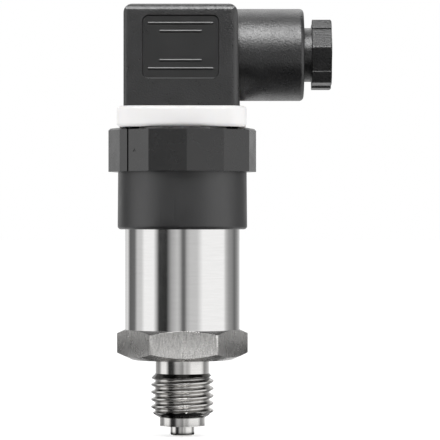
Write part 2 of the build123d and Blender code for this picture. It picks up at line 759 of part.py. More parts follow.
# Gland nut, a hollow screw with a channelled hexagon head
gland_axis = Axis((0, 0, z_boss), (1, 0, 0))
gland_end_drop = gland_end_inset * tan(radians(gland_end_angle))
with BuildPart() as gland_nut:
    with BuildSketch(Plane.XZ):
        with BuildLine():
            Polyline(
                (x_gland_hex, z_boss),
                (x_gland_hex, z_boss + gland_corner_r),
                (x_gland_end - gland_end_drop, z_boss + gland_corner_r),
                (x_gland_end, z_boss + gland_end_face_r),
                (x_gland_end, z_boss),
                close=True,
            )
        make_face()
    revolve(axis=gland_axis)
    with BuildSketch(Plane.YZ.offset(x_gland_hex)):
        with Locations((0, z_boss)):
            RegularPolygon(gland_flats / 2, 6, major_radius=False, rotation=gland_hex_turn)
            with PolarLocations(gland_flats / 2, 6, start_angle=gland_hex_turn + 30):
                Rectangle(2 * gland_channel_depth, gland_channel_width, mode=Mode.SUBTRACT)
    extrude(amount=gland_hex_length, mode=Mode.INTERSECT)
    with BuildSketch(Plane.XZ):
        with BuildLine():
            Polyline(
                (x_gland_shank, z_boss),
                (x_gland_shank, z_boss + in_boss_r),
                (x_gland_relief, z_boss + in_boss_r),
                (x_gland_relief, z_boss + gland_relief_d / 2),
                (x_gland_hex, z_boss + gland_relief_d / 2),
                (x_gland_hex, z_boss),
                close=True,
            )
        make_face()
    revolve(axis=gland_axis)
    with BuildSketch(Plane.YZ.offset(x_gland_shank)):
        with Locations((0, z_boss)):
            Circle(gland_bore_d / 2)
    extrude(amount=x_gland_end - x_gland_shank, mode=Mode.SUBTRACT)
gland_nut.part.label = "gland_nut"
export_step(gland_nut.part, "parts/gland_nut.step")
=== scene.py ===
import json
from math import cos, hypot, pi, radians, sin, tan

import bmesh
import bpy
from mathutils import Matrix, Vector


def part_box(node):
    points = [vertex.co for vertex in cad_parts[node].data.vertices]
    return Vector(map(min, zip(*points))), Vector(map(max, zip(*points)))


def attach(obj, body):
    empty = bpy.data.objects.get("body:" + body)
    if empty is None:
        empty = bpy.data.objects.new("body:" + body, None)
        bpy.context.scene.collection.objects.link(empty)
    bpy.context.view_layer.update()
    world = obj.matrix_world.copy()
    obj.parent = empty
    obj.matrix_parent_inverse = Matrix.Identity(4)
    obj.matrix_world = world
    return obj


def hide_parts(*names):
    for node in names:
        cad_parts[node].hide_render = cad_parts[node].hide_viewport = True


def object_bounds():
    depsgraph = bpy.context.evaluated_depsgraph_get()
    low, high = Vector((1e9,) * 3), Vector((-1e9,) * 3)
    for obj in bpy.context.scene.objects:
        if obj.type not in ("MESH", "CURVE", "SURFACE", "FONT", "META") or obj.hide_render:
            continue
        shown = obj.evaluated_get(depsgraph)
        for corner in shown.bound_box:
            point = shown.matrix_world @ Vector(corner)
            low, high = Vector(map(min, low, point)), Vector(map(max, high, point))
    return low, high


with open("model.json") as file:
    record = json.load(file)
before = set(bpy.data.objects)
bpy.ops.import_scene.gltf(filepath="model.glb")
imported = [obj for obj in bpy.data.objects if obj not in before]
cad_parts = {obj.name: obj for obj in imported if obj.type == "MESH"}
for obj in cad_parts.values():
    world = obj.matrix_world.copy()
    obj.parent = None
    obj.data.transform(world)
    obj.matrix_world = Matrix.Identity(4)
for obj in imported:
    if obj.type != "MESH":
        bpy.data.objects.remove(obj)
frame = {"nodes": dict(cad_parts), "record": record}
cad_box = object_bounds()
scene = bpy.context.scene
scene.view_settings.view_transform = "Standard"

# Sizes in metres
MM = 0.001
PIXEL = 0.21 * MM
EYE_DISTANCE = 2800 * PIXEL
SENSOR = 0.036

# Places in the photo in pixels: its side, the object's axis, the sealing face and the eye's level
PHOTO_SIDE = 440
AXIS_COLUMN = 182.4
ORIGIN_ROW = 425.5
HORIZON_ROW = 222.0

# Camera, level with the lower part of the union nut, with the frame shifted to the photo's
camera_data = bpy.data.cameras.new("camera")
camera_data.sensor_width = SENSOR * 1000
camera_data.lens = EYE_DISTANCE / (PHOTO_SIDE * PIXEL) * SENSOR * 1000
camera_data.shift_y = (HORIZON_ROW - PHOTO_SIDE / 2) / PHOTO_SIDE
camera_data.clip_start = 0.01
camera_data.clip_end = 100
camera = bpy.data.objects.new("camera", camera_data)
camera.location = (
    (PHOTO_SIDE / 2 - AXIS_COLUMN) * PIXEL,
    -EYE_DISTANCE,
    (ORIGIN_ROW - HORIZON_ROW) * PIXEL,
)
camera.rotation_euler = (radians(90), 0, 0)
scene.collection.objects.link(camera)
scene.camera = camera


# Node helpers
class Nodes:
    """A short way to add and join the nodes of one tree."""

    def __init__(self, tree):
        self.tree = tree
        tree.nodes.clear()

    def add(self, kind, inputs=None, **settings):
        node = self.tree.nodes.new(kind)
        for name, value in settings.items():
            setattr(node, name, value)
        for name, value in (inputs or {}).items():
            if isinstance(value, bpy.types.NodeSocket):
                self.tree.links.new(value, node.inputs[name])
            else:
                node.inputs[name].default_value = value
        return node

    def ramp(self, factor, stops):
        node = self.add("ShaderNodeValToRGB", {"Fac": factor})
        ramp = node.color_ramp
        ramp.interpolation = "LINEAR"
        for index, (place, level) in enumerate(stops):
            stop = ramp.elements[index] if index < 2 else ramp.elements.new(place)
            stop.position = place
            stop.color = (level, level, level, 1)
        return node.outputs["Color"]

    def math(self, operation, first, second=0.0, third=0.0):
        inputs = {0: first, 1: second, 2: third}
        return self.add("ShaderNodeMath", inputs, operation=operation).outputs[0]

    def vector(self, operation, first, inputs=None):
        return self.add("ShaderNodeVectorMath", {0: first, **(inputs or {})}, operation=operation).outputs

    def parts(self, vector):
        return self.add("ShaderNodeSeparateXYZ", {"Vector": vector}).outputs

    def bump(self, height, depth):
        inputs = {"Height": height, "Strength": 1.0, "Distance": depth}
        return self.add("ShaderNodeBump", inputs).outputs["Normal"]

    def mix(self, factor, first, second):
        node = self.add("ShaderNodeMix", data_type="RGBA")
        for index, value in ((0, factor), (6, first), (7, second)):
            if isinstance(value, bpy.types.NodeSocket):
                self.tree.links.new(value, node.inputs[index])
            else:
                node.inputs[index].default_value = value
        return node.outputs[2]


def new_material(name):
    material = bpy.data.materials.new(name)
    material.use_nodes = True
    return material, Nodes(material.node_tree)


def object_millimetres(nodes, stretch=(1, 1, 1)):
    """The place on the object in millimetres, stretched along its axes."""
    place = nodes.add("ShaderNodeTexCoord").outputs["Object"]
    scale = [factor / MM for factor in stretch]
    return nodes.add("ShaderNodeMapping", {"Vector": place, "Scale": scale}).outputs["Vector"]


def noise(nodes, place, scale, detail=2.0, roughness=0.5):
    inputs = {"Vector": place, "Scale": scale, "Detail": detail, "Roughness": roughness}
    return nodes.add("ShaderNodeTexNoise", inputs).outputs["Fac"]


def spread(nodes, value, low, high, source=(0.3, 0.7)):
    """The value carried from the source's range over to the one from low to high."""
    inputs = {"Value": value, "From Min": source[0], "From Max": source[1], "To Min": low, "To Max": high}
    return nodes.add("ShaderNodeMapRange", inputs).outputs["Result"]


def within(nodes, place, box):
    """One inside the box, given as low and high corners in millimetres, and nought outside."""
    inside = 1.0
    for axis, low, high in zip(nodes.parts(place), box[0], box[1]):
        over = nodes.math("GREATER_THAN", axis, low)
        under = nodes.math("LESS_THAN", axis, high)
        inside = nodes.math("MULTIPLY", nodes.math("MULTIPLY", over, under), inside)
    return inside


def reach_from_axis(nodes, place):
    """The distance of the place from the upright axis."""
    flat = nodes.vector("MULTIPLY", place, {1: (1, 1, 0)})["Vector"]
    return nodes.vector("LENGTH", flat)["Value"]


# Boxes in millimetres: none, the thread's run-out, which gets painted shade, the plug's panel and the
# union nut's grip
NOWHERE = ((0, 0, -100), (0, 0, -100))
RUN_OUT = ((-7, -7, 9.9), (7, 7, 11.1))
PANEL_BOX = ((-8.2, -11.9, 72.2), (7.8, -11.0, 85.5))
GRIP_BOX = ((-20, -20, 53.2), (20, 20, 70))

# Materials, with grain and depth in millimetres
POLISHED_SHARE = 0.2
ROUGHNESS_DRIFT = 0.04


def moulded(
    name, colour, roughness, grain=0.22, depth=0.012, mottle=0.12, level=0.5, polish=None, grit=0.0
):
    """Moulded plastic or rubber with an eroded grain and a faint mottle.

    Polish is a box, the change of roughness within it and the share of the colour that it keeps.
    """
    material, nodes = new_material(name)
    place = object_millimetres(nodes)
    fine = noise(nodes, place, 1 / grain, 3.0, 0.6)
    broad = noise(nodes, place, 0.25, 3.0)
    box, smoother, darker = polish or (NOWHERE, 0.0, 1.0)
    polished = within(nodes, place, box)
    dark = tuple(channel * (1 - mottle) for channel in colour) + (1,)
    light = tuple(min(1, channel * (1 + mottle)) for channel in colour) + (1,)
    blend = nodes.math("MULTIPLY_ADD", fine, 0.5, 0.25)
    tint = nodes.mix(nodes.math("MULTIPLY", nodes.math("ADD", blend, broad), 0.5), dark, light)
    relief = spread(nodes, polished, depth * MM, depth * POLISHED_SHARE * MM, (0, 1))
    grit = spread(nodes, polished, grit, grit * POLISHED_SHARE, (0, 1))
    uneven = nodes.math("MULTIPLY", spread(nodes, fine, -1, 1), grit)
    drift = spread(nodes, broad, roughness - ROUGHNESS_DRIFT, roughness + ROUGHNESS_DRIFT)
    rough = nodes.math("ADD", drift, uneven)
    rough = nodes.math("ADD", rough, nodes.math("MULTIPLY", polished, smoother))
    tint = nodes.mix(polished, tint, tuple(channel * darker for channel in colour) + (1,))
    surface = {
        "Base Color": tint,
        "Roughness": rough,
        "Normal": nodes.bump(fine, relief),
        "Specular IOR Level": level,
    }
    shader = nodes.add("ShaderNodeBsdfPrincipled", surface)
    nodes.add("ShaderNodeOutputMaterial", {"Surface": shader.outputs["BSDF"]})
    return material


# Port steel in millimetres, turned within the reach and milled beyond it; pairs go from turned to milled
TURNED_REACH = 9.5
SKIN_CONTRAST = (0.05, 0.9)
SKIN_DEPTH = (0.0006, 0.05)
MILLED_ROUGHNESS = 0.28
ROUGHNESS_PATCHES = 0.06
# Shares of the colour kept where painted shade goes: on the hexagon's upward ledge and in the given box
LEDGE_PAINTED_SHADE_SHARE = 0.25
RUN_OUT_SHADE_SHARE = 0.3


def port_steel(name, colour, turned, shade_box=NOWHERE):
    """One stainless bar, its shank turned bright and its hexagon left with a coarse milled skin.

    Turned is the roughness of the shank. The hexagon's upward ledge and the given box carry painted
    shade, a darker colour.
    """
    material, nodes = new_material(name)
    place = object_millimetres(nodes)
    milled = spread(nodes, reach_from_axis(nodes, place), 0.0, 1.0, (TURNED_REACH, TURNED_REACH + 1.0))
    fine = noise(nodes, place, 3.2, 4.0, 0.7)
    upright = noise(nodes, object_millimetres(nodes, (4, 4, 0.5)), 1.2, 3.0, 0.6)
    rings = noise(nodes, object_millimetres(nodes, (0.15, 0.15, 6)), 1.5, 2.0)
    broad = noise(nodes, place, 0.28, 3.0)
    skin = nodes.math("MULTIPLY", nodes.math("ADD", fine, upright), 0.5)
    marks = nodes.add("ShaderNodeMix", {0: milled, 2: rings, 3: skin}).outputs[0]
    contrast = spread(nodes, milled, *SKIN_CONTRAST, (0, 1))
    shade = nodes.math("SUBTRACT", spread(nodes, marks, 0, 1), 0.5)
    level = nodes.math("MULTIPLY_ADD", shade, contrast, 1.0)
    # Painted shade: the milled faces that look upward, the hexagon's ledge and top chamfer, get a darker
    # colour
    upward = nodes.parts(nodes.add("ShaderNodeTexCoord").outputs["Normal"])["Z"]
    painted_ledge_shade = nodes.math("MULTIPLY", milled, spread(nodes, upward, 0.0, 1.0, (0.5, 0.8)))
    level = nodes.math("MULTIPLY", level, spread(nodes, painted_ledge_shade, 1.0, LEDGE_PAINTED_SHADE_SHARE, (0, 1)))
    # Painted shade: a darker colour inside the given box
    painted_run_out_shade = spread(nodes, within(nodes, place, shade_box), 1.0, RUN_OUT_SHADE_SHARE, (0, 1))
    level = nodes.math("MULTIPLY", level, painted_run_out_shade)
    depth = spread(nodes, milled, SKIN_DEPTH[0] * MM, SKIN_DEPTH[1] * MM, (0, 1))
    uneven = nodes.math("MULTIPLY", spread(nodes, broad, -0.5, 0.5), ROUGHNESS_PATCHES)
    surface = {
        "Base Color": nodes.vector("SCALE", colour, {"Scale": level})["Vector"],
        "Metallic": 1.0,
        "Roughness": nodes.math("ADD", spread(nodes, milled, turned, MILLED_ROUGHNESS, (0, 1)), uneven),
        "Normal": nodes.bump(marks, depth),
    }
    shader = nodes.add("ShaderNodeBsdfPrincipled", surface)
    nodes.add("ShaderNodeOutputMaterial", {"Surface": shader.outputs["BSDF"]})
    return material


def steel(name, colour, roughness, stretch=(1, 1, 1), grain=0.3, depth=0.004, speckle=0.08):
    """Bare stainless steel with tool marks drawn out along the stretch."""
    material, nodes = new_material(name)
    marks = noise(nodes, object_millimetres(nodes, stretch), 1 / grain, 4.0, 0.6)
    cloud = noise(nodes, object_millimetres(nodes), 0.35, 2.0)
    dark = tuple(channel * (1 - speckle) for channel in colour) + (1,)
    light = tuple(min(1, channel * (1 + speckle)) for channel in colour) + (1,)
    tint = nodes.mix(spread(nodes, marks, 0, 1), dark, light)
    surface = {
        "Base Color": tint,
        "Metallic": 1.0,
        "Roughness": spread(nodes, cloud, roughness * 0.85, roughness * 1.15),
        "Normal": nodes.bump(marks, depth * MM),
    }
    shader = nodes.add("ShaderNodeBsdfPrincipled", surface)
    nodes.add("ShaderNodeOutputMaterial", {"Surface": shader.outputs["BSDF"]})
    return material


def silicone(name, colour):
    """Milky silicone: a soft body that lets a little light in."""
    material, nodes = new_material(name)
    place = object_millimetres(nodes)
    cloud = noise(nodes, place, 0.3, 3.0)
    fine = noise(nodes, place, 3.0, 2.0)
    dark = tuple(channel * 0.965 for channel in colour) + (1,)
    tint = nodes.mix(cloud, dark, colour + (1,))
    surface = {
        "Base Color": tint,
        "Roughness": spread(nodes, cloud, 0.5, 0.6),
        "Normal": nodes.bump(fine, 0.006 * MM),
        "Subsurface Weight": 0.25,
        "Subsurface Radius": (0.9, 0.8, 0.7),
        "Subsurface Scale": 1.2 * MM,
    }
    shader = nodes.add("ShaderNodeBsdfPrincipled", surface)
    nodes.add("ShaderNodeOutputMaterial", {"Surface": shader.outputs["BSDF"]})
    return material


MATERIALS = {
    "port_steel": port_steel("port_steel", (0.69, 0.68, 0.665), 0.12),
    "tube_steel": steel("tube_steel", (0.76, 0.755, 0.75), 0.08, (0.06, 0.06, 1.5), 0.3, 0.0002, 0.03),
    "black_plastic": moulded(
        "black_plastic", (0.007, 0.007, 0.0075), 0.35, grain=0.40, depth=0.07, mottle=0.6, level=0.95,
        polish=(PANEL_BOX, -0.03, 0.7), grit=0.09,
    ),
    "nut_plastic": moulded(
        "nut_plastic", (0.008, 0.008, 0.0088), 0.39, grain=0.35, depth=0.012, mottle=0.2, level=1.0,
        polish=(GRIP_BOX, -0.12, 0.4),
    ),
    "gasket_silicone": silicone("gasket_silicone", (0.95, 0.935, 0.93)),
    "seal_rubber": moulded("seal_rubber", (0.02, 0.02, 0.02), 0.6, 0.3, 0.01),
    "cell_ceramic": moulded("cell_ceramic", (0.85, 0.83, 0.79), 0.55, 0.2, 0.004, 0.03),
    "carrier_plastic": moulded("carrier_plastic", (0.07, 0.07, 0.075), 0.45, 0.25, 0.01),
    "board_laminate": moulded("board_laminate", (0.02, 0.15, 0.06), 0.35, 0.5, 0.004, 0.15),
    "component_plastic": moulded("component_plastic", (0.035, 0.035, 0.038), 0.4, 0.2, 0.006),
    "contact_metal": steel("contact_metal", (0.80, 0.77, 0.70), 0.25, (1, 1, 0.1), 0.2, 0.002),
    "bush_brass": steel("bush_brass", (0.75, 0.58, 0.30), 0.28, (0.1, 0.1, 1), 0.2, 0.002),
    "screw_steel": steel("screw_steel", (0.46, 0.46, 0.45), 0.3, (1, 1, 1), 0.3, 0.004),
}
SLOT_OF = {entry["node"]: entry["material_slot"] for entry in frame["record"]["subparts"]}
for node, solid in frame["nodes"].items():
    for place in solid.material_slots:
        place.material = MATERIALS[SLOT_OF[node]]


# Helpers for pieces
EDGE_SEGMENTS = 2
EDGE_ANGLE = 25
WELD_DISTANCE = 0.002 * MM
FLAT_ANGLE = 0.5


def mesh_of(work, name):
    mesh = bpy.data.meshes.new(name)
    work.to_mesh(mesh)
    work.free()
    return mesh


def join_rings(work, lower, upper):
    """Faces between two closed rings with equally many vertices."""
    for index in range(len(lower)):
        after = (index + 1) % len(lower)
        work.faces.new((lower[index], lower[after], upper[after], upper[index]))


def new_piece(name, mesh, node, body, material_slot):
    """Puts a mesh in the place of a CAD node, on the node's body."""
    mesh.materials.clear()
    mesh.materials.append(MATERIALS[material_slot])
    piece = bpy.data.objects.new(name, mesh)
    scene.collection.objects.link(piece)
    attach(piece, body)
    if node:
        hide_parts(node)
    return piece


def welded_copy(node, name):
    """A mesh like the CAD node's, with its facets joined and its flat faces whole."""
    work = bmesh.new()
    work.from_mesh(frame["nodes"][node].data)
    bmesh.ops.remove_doubles(work, verts=work.verts, dist=WELD_DISTANCE)
    bmesh.ops.dissolve_limit(work, angle_limit=radians(FLAT_ANGLE), verts=work.verts, edges=work.edges)
    mesh = mesh_of(work, name)
    if "custom_normal" in mesh.attributes:
        mesh.attributes.remove(mesh.attributes["custom_normal"])
    return mesh


def soften_edges(piece, width):
    """Rounds the sharp edges of a piece and keeps its faces looking flat."""
    for polygon in piece.data.polygons:
        polygon.use_smooth = True
    bevel = piece.modifiers.new("edges", "BEVEL")
    bevel.width = width
    bevel.segments = EDGE_SEGMENTS
    bevel.limit_method = "ANGLE"
    bevel.angle_limit = radians(EDGE_ANGLE)
    bevel.use_clamp_overlap = True
    bevel.harden_normals = True


def rounded_piece(name, node, body, material_slot, edge):
    """A copy of a CAD node in its place, with its moulded edges rounded."""
    piece = new_piece(name, welded_copy(node, name), node, body, material_slot)
    soften_edges(piece, edge)


# Male thread, a closed sleeve with the helical form over a plain core.
# Its lower chamfer passes a radius at a height, and its upper one leaves a radius at a slope.
THREAD_PITCH = 1.54 * MM
THREAD_DEPTH = 0.84 * MM
THREAD_LOW = 2.3 * MM
THREAD_HIGH = 11.0 * MM
THREAD_FOOT = 1.75 * MM
THREAD_RADIUS = 6.5785 * MM
THREAD_CORE = 5.45 * MM
COLLAR_RADIUS = 4.75 * MM
LOWER_CONE = (6.0 * MM, 2.5 * MM)
UPPER_CONE = (5.66 * MM, 0.9)
THREAD_START = 0.40
THREAD_ROOT = 0.17
THREAD_FLANK = 0.62
THREAD_COLUMNS = 144
THREAD_ROWS = 160
SLEEVE_WALL = 0.2 * MM
SLEEVE_GAP = 0.03 * MM
PORT_EDGE = 0.12 * MM

# The port's shank is pulled in to the core from this radius on, except the edge of its relief
BARE_FROM = 5.5 * MM
RELIEF_EDGE = (5.62 * MM, 5.68 * MM)


def thread_radius(angle, height):
    """The thread's radius, crest and root rounded, cut off by the two chamfers."""
    turn = (height - THREAD_LOW) / THREAD_PITCH - angle / (2 * pi) + THREAD_START
    flank = abs(2 * (turn % 1) - 1)
    rounded = min(1, max(0, (flank - THREAD_ROOT) / THREAD_FLANK))
    radius = THREAD_RADIUS - THREAD_DEPTH * (1 - rounded)
    start, corner = LOWER_CONE
    share = (height - THREAD_FOOT) / (corner - THREAD_FOOT)
    under = COLLAR_RADIUS + SLEEVE_GAP + (start - COLLAR_RADIUS) * share
    lower = under if height < corner else start + height - corner
    upper = UPPER_CONE[0] + UPPER_CONE[1] * (THREAD_HIGH - height)
    return min(radius, lower, upper)


def thread_ring(work, height, plain=None):
    """A ring of vertices at one height, on the thread or at a plain radius."""
    ring = []
    for column in range(THREAD_COLUMNS):
        angle = 2 * pi * column / THREAD_COLUMNS
        radius = plain or thread_radius(angle, height)
        ring.append(work.verts.new((radius * cos(angle), radius * sin(angle), height)))
    return ring


def thread_mesh():
    work = bmesh.new()
    rings = []
    for row in range(THREAD_ROWS + 1):
        height = THREAD_FOOT + (THREAD_HIGH - THREAD_FOOT) * row / THREAD_ROWS
        rings.append(thread_ring(work, height))
    rings.append(thread_ring(work, THREAD_HIGH, THREAD_CORE - SLEEVE_WALL))
    rings.append(thread_ring(work, THREAD_FOOT, COLLAR_RADIUS - SLEEVE_WALL))
    rings.append(rings[0])
    for lower, upper in zip(rings, rings[1:]):
        join_rings(work, lower, upper)
    bmesh.ops.recalc_face_normals(work, faces=work.faces)
    mesh = mesh_of(work, "port_thread")
    mesh.shade_smooth()
    mesh.set_sharp_from_angle(angle=radians(60))
    return mesh


def port_mesh():
    """The port with its shank turned down to the thread's core."""
    mesh = welded_copy("pressure_port", "port_body")
    for vertex in mesh.vertices:
        radius = hypot(vertex.co.x, vertex.co.y)
        in_thread = THREAD_LOW - 0.01 * MM < vertex.co.z < THREAD_HIGH + 0.01 * MM
        on_relief = RELIEF_EDGE[0] <= radius <= RELIEF_EDGE[1]
        if in_thread and radius > BARE_FROM and not on_relief:
            vertex.co.x *= THREAD_CORE / radius
            vertex.co.y *= THREAD_CORE / radius
    return mesh


port = new_piece("port_body", port_mesh(), "pressure_port", "case", "port_steel")
soften_edges(port, PORT_EDGE)
thread = new_piece("port_thread", thread_mesh(), None, "case", "port_steel")
# The thread gets a darker copy of the port steel, painted shade for the hexagon overhanging it, and more
# painted shade in the run-out box
thread.material_slots[0].material = port_steel("thread_steel_painted_shade", (0.60, 0.59, 0.575), 0.14, RUN_OUT)


# Gasket, a soft section carried round a square with rounded corners and a faintly wavy edge
GASKET_LOW, GASKET_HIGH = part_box("profile_gasket")
GASKET_HALF = GASKET_HIGH.x
GASKET_CORNER = 4.2 * MM
GASKET_OPENING = 10.1 * MM
GASKET_FLANGE = 11.8 * MM
GASKET_LIP = 1.1 * MM
GASKET_EDGE = 0.8 * MM
GASKET_WAVE = 0.03 * MM
WAVE_STEP = 0.21
CORNER_STEPS = 12
SIDE_STEPS = 14
EDGE_STEPS = 8
WALL_STEPS = 6


def square_path():
    """Points round the gasket's outer edge with their outward directions."""
    straight = GASKET_HALF - GASKET_CORNER
    points = []
    for quarter in range(4):
        start = quarter * pi / 2
        for step in range(CORNER_STEPS + 1):
            angle = start + pi / 2 * step / CORNER_STEPS
            centre = Vector((straight, straight)) if quarter in (0, 2) else Vector((-straight, straight))
            if quarter in (2, 3):
                centre = -centre
            direction = Vector((cos(angle), sin(angle)))
            points.append((centre + direction * GASKET_CORNER, direction))
        here, facing = points[-1]
        along = Vector((-facing.y, facing.x))
        for step in range(1, SIDE_STEPS):
            points.append((here + along * 2 * straight * step / SIDE_STEPS, facing))
    return points


def gasket_section():
    """Insets from the outer edge and heights, round the section."""
    low, high = GASKET_LOW.z, GASKET_HIGH.z
    points = []
    for step in range(EDGE_STEPS + 1):
        angle = -pi / 2 + pi / 2 * step / EDGE_STEPS
        points.append((GASKET_EDGE * (1 - cos(angle)), low + GASKET_EDGE * (1 + sin(angle))))
    for step in range(1, WALL_STEPS):
        share = step / WALL_STEPS
        rise = low + GASKET_EDGE + (high - low - 2 * GASKET_EDGE) * share
        points.append((0.0, rise))
    for step in range(EDGE_STEPS + 1):
        angle = pi / 2 * step / EDGE_STEPS
        points.append((GASKET_EDGE * (1 - cos(angle)), high - GASKET_EDGE * (1 - sin(angle))))
    opening = GASKET_HALF - GASKET_OPENING
    flange = GASKET_HALF - GASKET_FLANGE
    points += [(opening, high), (opening, high - GASKET_LIP), (flange, high - GASKET_LIP), (flange, low)]
    return points


def gasket_mesh():
    work = bmesh.new()
    section = gasket_section()
    loops = []
    for index, (place, facing) in enumerate(square_path()):
        loop = []
        for inset, height in section:
            wave = GASKET_WAVE * (1 + sin(index * WAVE_STEP + height / MM)) * (inset < GASKET_EDGE)
            point = place - facing * (inset + wave)
            loop.append(work.verts.new((point.x, point.y, height)))
        loops.append(loop)
    for loop, following in zip(loops, loops[1:] + loops[:1]):
        for index in range(len(section)):
            after = (index + 1) % len(section)
            work.faces.new((loop[index], following[index], following[after], loop[after]))
    bmesh.ops.recalc_face_normals(work, faces=work.faces)
    mesh = mesh_of(work, "gasket_body")
    mesh.shade_smooth()
    mesh.set_sharp_from_angle(angle=radians(50))
    return mesh


new_piece("gasket_body", gasket_mesh(), "profile_gasket", "case", "gasket_silicone")

# Union nut
NUT_SIDES = 12
NUT_TURN = 4.1
NUT_EDGE = 0.16 * MM
rounded_piece("nut_body", "union_nut", "union_nut", "nut_plastic", NUT_EDGE)

# Small moulded arrow on the flat of the union nut to the left of the front
NUT_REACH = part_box("union_nut")[1].x * cos(radians(180 / NUT_SIDES)) / cos(radians(NUT_TURN))
PIP_HEIGHT = 57.6 * MM
PIP_AZIMUTH = -40.9
PIP_OUTLINE = ((-0.42, -0.4), (0.0, 0.45), (0.42, -0.4), (0.2, -0.4), (0.0, 0.05), (-0.2, -0.4))
PIP_RISE = 0.12 * MM
PIP_ROOT = -0.3 * MM
PIP_TAPER = 0.8


def pip_mesh():
    work = bmesh.new()
    out = Vector((sin(radians(PIP_AZIMUTH)), -cos(radians(PIP_AZIMUTH)), 0))
    across = Vector((-out.y, out.x, 0))
    rings = []
    for rise, size in ((PIP_ROOT, 1.0), (PIP_RISE, PIP_TAPER)):
        ring = []
        for side, up in PIP_OUTLINE:
            middle = out * (NUT_REACH + rise) + Vector((0, 0, PIP_HEIGHT + up * size * MM))
            ring.append(work.verts.new(middle + across * side * size * MM))
        rings.append(ring)
    join_rings(work, *rings)
    for ring in rings:
        work.faces.new(ring)
    bmesh.ops.recalc_face_normals(work, faces=work.faces)
    return mesh_of(work, "nut_pip")


new_piece("nut_pip", pip_mesh(), None, "union_nut", "nut_plastic")

# Plug housing and gland nut
HOUSING_EDGE = 0.1 * MM
GLAND_EDGE = 0.16 * MM
rounded_piece("housing_body", "plug_housing", "plug", "black_plastic", HOUSING_EDGE)
rounded_piece("gland_body", "gland_nut", "gland_nut", "black_plastic", GLAND_EDGE)


# Floor, lifted to white for the camera and for mirrors and glass alike
FLOOR_SIDE = 12.0
FLOOR_LEVEL = cad_box[0][2]
FLOOR_WHITE = 0.84
FLOOR_LIFT = 0.55


def shown_to_eye(nodes):
    """One for camera, glossy and transmission rays, nought for the rest."""
    path = nodes.add("ShaderNodeLightPath").outputs
    eye_or_mirror = nodes.math("MAXIMUM", path["Is Camera Ray"], path["Is Glossy Ray"])
    return nodes.math("MAXIMUM", eye_or_mirror, path["Is Transmission Ray"])


def floor_material():
    material, nodes = new_material("floor")
    white = (FLOOR_WHITE, FLOOR_WHITE, FLOOR_WHITE, 1)
    diffuse = nodes.add("ShaderNodeBsdfDiffuse", {"Color": white}).outputs["BSDF"]
    lift = nodes.math("MULTIPLY", shown_to_eye(nodes), FLOOR_LIFT)
    glow = nodes.add("ShaderNodeEmission", {"Strength": lift}).outputs["Emission"]
    surface = nodes.add("ShaderNodeAddShader", {0: diffuse, 1: glow}).outputs["Shader"]
    nodes.add("ShaderNodeOutputMaterial", {"Surface": surface})
    return material


def stage_object(name, mesh, material):
    mesh.materials.append(material)
    thing = bpy.data.objects.new(name, mesh)
    scene.collection.objects.link(thing)
    return thing


floor_mesh = bpy.data.meshes.new("floor")
half = FLOOR_SIDE / 2
floor_corners = [(x * half, y * half, FLOOR_LEVEL) for x, y in ((-1, -1), (1, -1), (1, 1), (-1, 1))]
floor_mesh.from_pydata(floor_corners, [], [(0, 1, 2, 3)])
stage_object("floor", floor_mesh, floor_material())


# Studio cards, a dome of softboxes and dark flags round the object that only glossy surfaces see.
# Each stop is an azimuth, in degrees from the camera side and rising to the right, with a level.
CARD_SCALE = 2.0

# Round the horizon, where the case looks
CARDS = (
    (-168, 0.70), (-146, 0.85), (-133, 0.14), (-114, 0.18), (-104, 0.70), (-92, 0.75), (-84, 1.12),
    (-62, 1.12), (-50, 0.05), (-34, 0.03), (-24, 0.46), (-12, 0.68), (-7, 0.50), (-2, 0.16),
    (2, 0.16), (7, 0.52), (13, 0.68), (27, 0.70), (39, 1.12), (88, 1.12), (96, 0.60), (105, 0.38),
    (116, 0.30), (127, 0.17), (142, 0.34), (156, 0.60), (168, 0.65),
)

# Above the horizon, where the union nut and the plug look, with the degrees over which they take over
UPPER_CARDS = (
    (-168, 0.7), (-150, 0.8), (-130, 0.3), (-110, 0.35), (-98, 1.1), (-66, 1.35), (-40, 1.2),
    (-30, 0.3), (-14, 0.25), (-9, 0.4), (3, 0.4), (10, 0.25), (35, 0.3), (48, 1.2), (72, 1.35),
    (90, 0.85), (104, 0.7), (114, 0.35), (130, 0.3), (150, 0.7), (168, 0.7),
)
UPPER_FROM = (1.2, 3.0)

# On the kerb round the foot, where the shank looks, and at its top, where the hexagon looks
KERB_CARDS = (
    (-158, 0.5), (-113, 0.3), (-104, 0.5), (-94, 1.15), (-72, 1.2), (-63, 0.5), (-57, 0.04),
    (-42, 0.04), (-36, 0.1), (-27, 0.5), (-18, 0.55), (-2, 0.3), (7, 0.75), (15, 0.55), (24, 0.7),
    (33, 1.15), (76, 1.2), (88, 0.8), (95, 0.3), (108, 0.4), (144, 0.8),
)
KERB_TOP_CARDS = (
    (-168, 0.5), (-140, 0.05), (-45, 0.05), (-28, 0.9), (22, 0.9), (34, 0.05), (140, 0.05), (168, 0.5),
)
KERB_TOP = 12.8 * MM

# Laid on the floor at the sides and the back
FLOOR_CARDS = ((-180, 0.65), (-85, 0.65), (-55, 0.0), (55, 0.0), (85, 0.65), (180, 0.65))

# Levels from straight down, at 0, by way of the horizon, at 0.5, to straight up, at 1
CARD_HEIGHT = ((0.0, 0.02), (0.38, 0.02), (0.41, 0.1), (0.44, 1.0), (0.60, 1.0), (0.70, 0.5), (1.0, 0.3))
FLOOR_RISE = ((0.0, 0.0), (0.10, 0.0), (0.20, 1.0), (0.42, 1.0), (0.44, 0.0), (1.0, 0.0))
BACK_RISE = (
    (0.0, 0.0), (0.15, 0.1), (0.38, 0.7), (0.42, 0.0), (0.60, 0.0), (0.70, 1.5), (0.80, 1.5), (1.0, 1.2),
)

